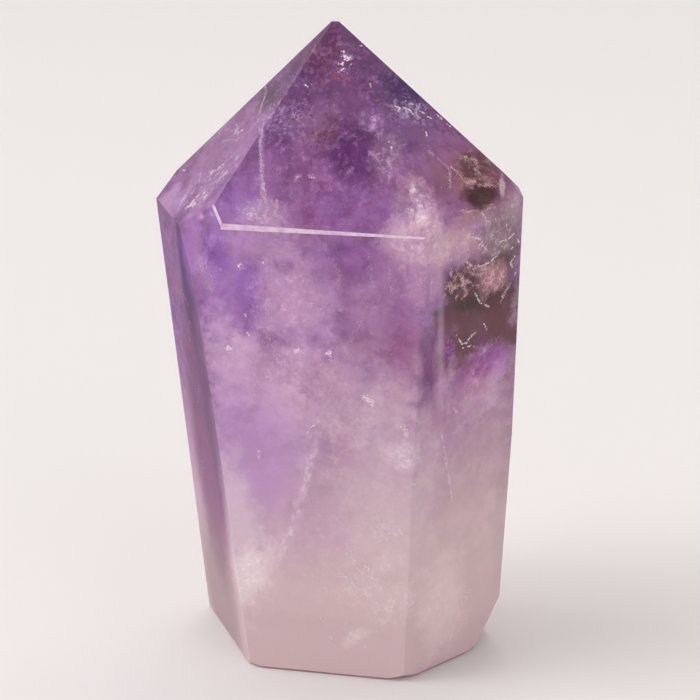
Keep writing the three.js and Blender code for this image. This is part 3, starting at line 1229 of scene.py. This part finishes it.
@dataclass
class ColourPlan:
    """The blotches of colour and the cloudy patches, placed by what the picture shows on each facet."""

    sight: Sight

    def spot(self, x: float, y: float, wide: float, tall: float, thick: float = 3.0, own: bool = False,
             **settings: object) -> Region:
        """Places a region at a pixel.

        Args:
            x: Pixel column.
            y: Pixel row.
            wide: Its half width in millimetres.
            tall: Its half height.
            thick: Its half depth.
            own: Whether it stays on the facet of that pixel.
            settings: Further values of the region.

        Returns:
            The region.
        """
        found = self.sight.enter(x, y)
        if found is None:
            raise ValueError(f"pixel {x}, {y} is beside the stone")
        return Region(found[0], (wide, thick, tall), facet=found[2] if own else None, **settings)

    @staticmethod
    def far(x: float, y: float, z: float, wide: float, tall: float, turn: float = 0.0) -> Region:
        """Places a region on a side that the picture doesn't show, all in millimetres but its turn."""
        return Region(Vector((x, y, z)) * MM, (wide, wide, tall), turn)

    def zones(self) -> tuple[Zone, ...]:
        """Lists the blotches of colour, from the tip down."""
        spot, block = self.spot, Form.BLOCK
        return (
            Zone((228, 190, 200), spot(322, 52, 2.6, 4.6)),
            Zone((244, 216, 240), spot(370, 62, 2.2, 4)),
            Zone((150, 130, 190), spot(402, 92, 3, 2.6, turn=40)),
            Zone((170, 126, 186), spot(356, 158, 4, 4, 5)),
            Zone((170, 180, 160), spot(268, 98, 1.6, 4, own=True, turn=-38)),
            Zone((150, 60, 190), spot(184, 260, 1.3, 12, own=True, soft=0.5, waver=0.1)),
            Zone((196, 150, 190), spot(206, 430, 3.5, 24, 8, own=True, soft=0.4, waver=0.1)),
            Zone((206, 160, 250), spot(214, 248, 1.8, 3.2)),
            Zone((190, 130, 236), spot(248, 292, 1.4, 4)),
            Zone((186, 140, 210), spot(266, 342, 1, 1.6)),
            Zone((234, 198, 234), spot(358, 262, 4.4, 2.6)),
            Zone((214, 164, 210), spot(400, 334, 2, 5)),
            Zone((166, 106, 180), spot(428, 372, 1, 5, 2, soft=0.8, waver=0.4, form=block)),
            Zone((176, 168, 160), spot(500, 238, 3.5, 4)),
            Zone((190, 120, 190), spot(475, 372, 4, 3.5)),
        )

    def clouds(self) -> tuple[Cloud, ...]:
        """Lists the cloudy patches, from the tip down, and then those on the far sides and the left flank."""
        milk, cream, lilac = (244, 226, 240), (236, 208, 210), (212, 176, 222)
        maroon, brown = (66, 8, 16), (78, 16, 28)
        spot, far, block = self.spot, self.far, Form.BLOCK
        return (
            Cloud((178, 140, 172), spot(225, 150, 9, 9, 8, own=True), 0.4, 0.1),
            Cloud(milk, spot(196, 196, 3.6, 2.6, own=True, turn=-30), 0, 0.2, 0.2, 0.9),
            Cloud(milk, spot(222, 170, 3, 1.6, own=True, turn=-40), 0, 0.2, 0.2, 0.9),
            Cloud((184, 136, 206), spot(222, 222, 4, 3), 0.4),
            Cloud((170, 118, 190), spot(192, 250, 2, 5), 0.65),
            Cloud((172, 124, 196), spot(248, 196, 2.6, 3), 0.45),
            Cloud((196, 150, 206), spot(330, 130, 16, 12, 12), 0, 0.26, 0.4, 0.2),
            Cloud((186, 126, 168), spot(332, 60, 5, 4), 0.1, 0.2, 0.2),
            # White specks and threads near the tip: painted glints.
            Cloud(milk, spot(346, 58, 0.9, 1.7, turn=-20), 0, 0.5, 0.5, glints=0.7),
            Cloud((160, 112, 134), spot(316, 124, 2.8, 2.8), 0.35, 0.3, 0.3),
            Cloud((84, 30, 44), spot(328, 132, 1.6, 2.4, turn=-20), 0.06, 0.8),
            Cloud(lilac, spot(282, 120, 3.2, 2), 0.1, 0.5, 0.3, glints=0.3),
            Cloud((86, 44, 92), spot(411, 137, 3.6, 2.5, turn=-20), 0.52, 0.1, 0.1),
            Cloud(milk, spot(412, 111, 3.4, 1.2, turn=14), 0.06, 0.5, 0.3, glints=0.9),
            Cloud((84, 40, 92), spot(353, 106, 1.6, 2.2), 0.5, 0.1, 0.1),
            Cloud((88, 40, 92), spot(310, 92, 1.8, 1.3), 0.34, 0.1, 0.1),
            Cloud((170, 118, 186), spot(274, 162, 1.8, 1.6), 0.3, 0.1, 0.2),
            Cloud((112, 64, 132), spot(282, 186, 1.7, 1.3), 0.32, 0.1),
            Cloud(lilac, spot(372, 122, 1.6, 1.2), 0.2, 0.5, 0.4),
            Cloud(lilac, spot(262, 155, 0.35, 4.6, waver=0.3), 0.2, 0.3, 0.5),
            Cloud((236, 208, 236), spot(264, 214, 3.2, 1.5, 4), 0.3, 0.35, 0.5),
            Cloud((220, 186, 214), spot(386, 156, 2, 3, turn=10), 0.25, 0.3, 0.6, 0.3),
            Cloud((112, 62, 108), spot(402, 196, 1.8, 4.2, turn=8), 0.34, 0.1, 0.3),
            Cloud((116, 66, 120), spot(366, 219, 2.4, 1.5), 0.24, 0.1),
            Cloud(cream, spot(420, 207, 2.9, 5.2), 0.22, 0.45, 0.5, 0.2),
            Cloud((222, 186, 214), spot(402, 224, 1.3, 1.3), 0.35, 0.2, 0.3),
            Cloud((122, 78, 116), spot(402, 200, 1.1, 1.7), 0.4, 0.1),
            Cloud((250, 232, 228), spot(413, 190, 0.4, 0.9), 0.3, 0.7),
            Cloud((250, 232, 232), spot(421, 214, 0.7, 1.2), 0.3, 0.7),
            Cloud((230, 196, 208), spot(426, 247, 5.4, 3, 5), 0.5, 0.4, 0.4),
            Cloud((222, 184, 190), spot(454, 246, 3.6, 2.6, 5), 0.5, 0.4, 0.4),
            Cloud((148, 96, 112), spot(456, 178, 5.2, 4.4, 6, waver=0.6), 0.6, 0.25, 0.3),
            Cloud((112, 62, 74), spot(442, 184, 1.5, 1.8), 0.5),
            Cloud((220, 186, 190), spot(513, 202, 1.6, 2, 6), 0.5, 0.3, 0.3),
            Cloud((116, 48, 54), spot(482, 180, 4, 4.6, 6, waver=0.5), 0.85),
            Cloud((62, 14, 18), spot(474, 164, 2.4, 1.2, 5, soft=0.5), 0.7),
            Cloud((176, 128, 132), spot(478, 183, 2.8, 0.5, soft=0.4), 0.3, 0.4, 0.5),
            Cloud((214, 176, 180), spot(474, 172, 4.2, 2.6, 6), 0.06, 0.2, 0.6, 0.3),
            # A pale oval on the shoulder: a painted glint.
            Cloud((214, 198, 200), spot(502, 187, 0.4, 1.1, soft=0.4), 0.7, 0.3),
            Cloud((186, 138, 146), spot(472, 217, 5.5, 1.5, 4, turn=-14), 0.5, 0.4, 0.4),
            Cloud((58, 20, 26), spot(479, 198, 3, 1.3, 5, soft=0.5, waver=1.3), 0.88),
            Cloud((166, 142, 140), spot(504, 232, 4, 3.8, 5), 0.5, 0.2),
            Cloud((232, 208, 208), spot(494, 238, 4.6, 4, 5), 0, 0.25, 0.4, 0.4, 0.4),
            Cloud(maroon, spot(478, 288, 4.9, 3.7, 5, soft=0.4, waver=0.6, form=block), 0.96),
            Cloud(brown, spot(480, 324, 4.7, 3.6, 5, soft=0.4, waver=0.7, form=block), 0.9),
            Cloud((44, 6, 14), spot(467, 304, 5, 0.8, 5), 0.88, 0.1),
            Cloud((128, 66, 76), spot(464, 322, 4, 2.4, 5), 0.04, 0.3, 0.2, 0.2),
            Cloud((232, 172, 190), spot(492, 279, 2.2, 2, waver=1.8), 0.4, 0.6, 0.8),
            Cloud((206, 150, 160), spot(474, 264, 3.8, 1.3, turn=12), 0.06, 0.3, 0.6, 0.4, 0.3),
            Cloud((206, 150, 168), spot(472, 278, 3.8, 2.4, waver=1.4), 0, 0.1, 0.4),
            Cloud((70, 16, 30), spot(455, 284, 1.3, 2.8, 4, waver=1.2), 0.5),
            Cloud((124, 64, 88), spot(449, 322, 1.2, 3.4, 4), 0.4),
            Cloud((98, 40, 52), spot(498, 336, 2.6, 4.8, 5, waver=1.2), 0.66, 0.3, 0.3),
            Cloud((156, 70, 176), spot(478, 366, 4.4, 3.6, 5), 0.2, 0.2, 0.2, 0.7),
            Cloud((206, 120, 240), spot(498, 364, 1.2, 2.4, 4), 0.3, 0, 0, 0.5),
            Cloud((96, 34, 48), spot(461, 357, 2.4, 2.4, 4, waver=1.4), 0.62, 0.4, 0.3),
            Cloud((124, 48, 152), spot(450, 352, 0.7, 2, 3), 0.45),
            Cloud((224, 180, 202), spot(480, 385, 3, 3, 5), 0.46, 0.3, 0.2, 0.3),
            Cloud((150, 100, 128), spot(457, 401, 1.6, 2.4, 3), 0.34, 0.1),
            # A thin pale vertical line: the image of an edge, as a painted reflection.
            Cloud((222, 188, 208), spot(441, 330, 0.4, 14, 2, soft=0.9, waver=0.5, turn=-1.2), 0.25),
            Cloud(milk, spot(206, 274, 1.2, 2.4, turn=-10), 0.12, 0.3, 0.5),
            Cloud((204, 166, 200), spot(170, 202, 2.4, 2.4, own=True), 0.5),
            Cloud(lilac, spot(260, 312, 1.6, 5, turn=-12), 0, 0.3, 0.8),
            Cloud((224, 182, 220), spot(270, 246, 6, 2.6, 4), 0.4, 0.1, 0.1),
            Cloud((230, 188, 222), spot(292, 300, 5.4, 5.6), 0.5, 0.2, 0.3, 0.1),
            Cloud((228, 180, 206), spot(429, 280, 2.4, 3), 0.45, 0.2, 0.3),
            Cloud((186, 130, 214), spot(232, 286, 4.4, 7), 0.5, 0.1),
            Cloud((230, 192, 226), spot(226, 362, 3.2, 6.6, turn=-8), 0.5, 0.1),
            Cloud((228, 186, 218), spot(266, 366, 7.6, 4.4), 0.45, 0.25, 0.3),
            Cloud((236, 198, 224), spot(286, 408, 5, 3.4), 0.5, 0.1),
            Cloud((206, 158, 198), spot(385, 300, 5, 6), 0.25, 0.2, 0.2),
            Cloud((120, 62, 128), spot(325, 272, 2.4, 2), 0.25, 0.1),
            Cloud((128, 76, 126), spot(370, 330, 2.4, 2.2), 0.22, 0.2),
            Cloud((128, 66, 140), spot(428, 300, 0.3, 5, soft=0.9, waver=0.7), 0.4),
            Cloud((222, 188, 206), spot(352, 404, 8, 6), 0.3, 0.2, 0.2),
            Cloud((176, 130, 164), spot(404, 400, 2.4, 3.4), 0.34, 0.1, 0.2),
            Cloud((226, 206, 208), spot(388, 490, 7, 13, 4), 0.4, 0.1),
            Cloud((200, 154, 214), spot(246, 450, 7.4, 10, soft=0.5, waver=0.6, turn=14), 0.5, 0.12, 0.1, 0.1),
            Cloud((184, 134, 194), spot(256, 458, 4.4, 6, turn=14), 0.3, 0.1, 0.1),
            Cloud(milk, spot(402, 456, 2, 1.8), 0.35, 0.5, 0.5),
            Cloud((240, 220, 232), spot(309, 470, 0.5, 4.8, turn=14, waver=1.6), 0.1, 0.6, 0.6),
            Cloud((240, 220, 232), spot(290, 536, 0.6, 4.2, turn=24, waver=1.6), 0.1, 0.6, 0.6),
            Cloud((240, 218, 228), spot(240, 530, 2.8, 11, turn=-8), 0.5, 0.1),
            Cloud((186, 138, 186), spot(243, 452, 1.8, 3.2), 0.36),
            Cloud((250, 238, 240), spot(251, 572, 2.2, 3.8, turn=22), 0.42, 0.5, 0.4),
            Cloud((250, 240, 238), spot(355, 638, 2, 0.9, turn=-40), 0.3, 0.5, 0.2),
            Cloud((244, 230, 230), spot(368, 578, 5, 1.6, turn=-42), 0.1, 0.3, 0.5, 0.2),
            Cloud((244, 230, 230), spot(388, 606, 3.6, 3, turn=-42), 0.1, 0.3, 0.4, 0.2),
            Cloud(milk, spot(388, 530, 1.8, 1.4, turn=-40), 0, 0.4, 0.5, 0.2, 0.4),
            Cloud((244, 222, 223), spot(440, 604, 5.2, 7), 0.45, 0.2, 0.2),
            Cloud((236, 212, 218), spot(350, 560, 12, 10), 0, 0.14, 0.3, 0.16),
            Cloud(cream, spot(456, 620, 1.8, 4, turn=14), 0.1, 0.4, 0.6),
            Cloud(milk, far(4, 13, 40, 5, 8, turn=24), 0.06, 0.3, 0.5, 0.1, 0.4),
            Cloud(lilac, far(-8, 11, 52, 5, 5), 0.1, 0.4, 0.5, 0, 0.4),
            Cloud(cream, far(14, 7, 44, 4, 7, turn=-14), 0.06, 0.3, 0.5, 0.2, 0.4),
            Cloud((122, 62, 74), far(15, 5, 55, 4, 4), 0.5, 0.2, 0.1),
            Cloud(milk, far(4, 8, 64, 4, 3, turn=30), 0, 0.4, 0.4, 0, 0.6),
            Cloud(milk, far(-1, 12, 24, 5, 9, turn=-24), 0.1, 0.4, 0.5, 0.2, 0.3),
            Cloud((206, 166, 190), far(12, 8, 22, 5, 9, turn=16), 0.1, 0.3, 0.5, 0.3),
            Cloud((86, 54, 96), spot(163, 214, 1.6, 3, 4, own=True, waver=0.2), 0.5),
            Cloud((116, 84, 108), spot(206, 440, 6, 18, 9, own=True, waver=0.2), 0.45, streaks=0.12),
            Cloud((90, 42, 104), spot(203, 370, 1.5, 20, 4.5, own=True, turn=-8, waver=0.1), 0.47, streaks=0.2),
            Cloud((138, 114, 122), spot(222, 600, 8, 14, 9, own=True, waver=0.2), 0.7),
        )

    def scuffs(self) -> tuple[Scuff, ...]:
        """Lists the duller parts."""
        return (Scuff(0.62, self.spot(200, 400, 30, 60, 30, own=True, soft=0.1, waver=0)),)


def main() -> None:
    """Builds the camera, the studio, the stone and its flaws in order."""
    logging.basicConfig(level=logging.INFO, format="%(message)s")
    view = PhotoView()
    view.build()
    Studio().build()
    maker = PolishedStone()
    sight = Sight(view, maker.planes())
    stone = maker.build(ColourPlan(sight))
    log.info("%s: %d faces", stone.name, len(stone.data.polygons))
    StoneInterior(sight).build()


if __name__ == "__main__":
    main()
